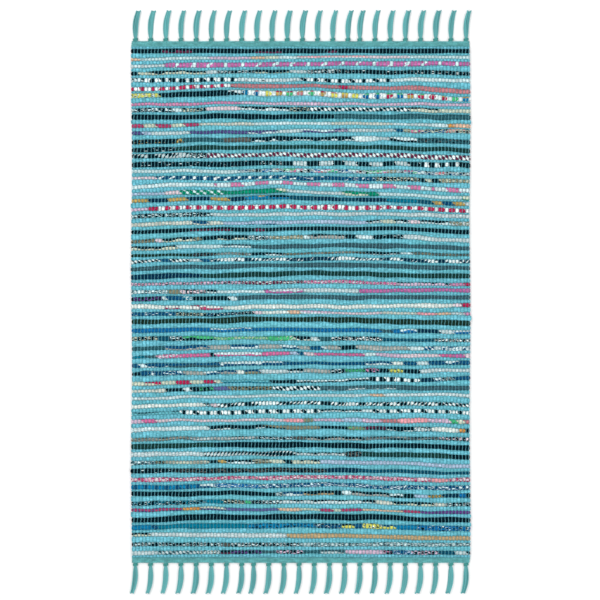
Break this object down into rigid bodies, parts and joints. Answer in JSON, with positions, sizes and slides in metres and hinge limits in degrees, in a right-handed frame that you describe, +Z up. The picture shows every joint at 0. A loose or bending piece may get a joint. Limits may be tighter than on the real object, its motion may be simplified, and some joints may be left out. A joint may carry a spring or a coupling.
{
  "type": "rag rug",
  "caption": "Hand-woven rag rug lying flat: thick cloth of rag strips on a cotton warp, a narrow yarn heading at each end and a knotted tassel fringe along both short edges.",
  "frame": {"origin": "on the surface the rug lies on, under the middle of its bounding box", "axes": "+X across the rug, along the weft; +Y along the warp, from one fringe to the other; +Z up from the surface"},
  "size_m": [0.6166, 1.052, 0.006],
  "materials": {
    "rag_cotton": "strips of soft matt cotton jersey, turquoise with black and mixed colours",
    "cotton_yarn": "matt plied cotton yarn, teal"
  },
  "bodies": {
    "root": {"woven_field": "rag_cotton", "heading_far": "cotton_yarn", "heading_near": "cotton_yarn", "fringe_far": "cotton_yarn", "fringe_near": "cotton_yarn"}
  },
  "joints": []
}
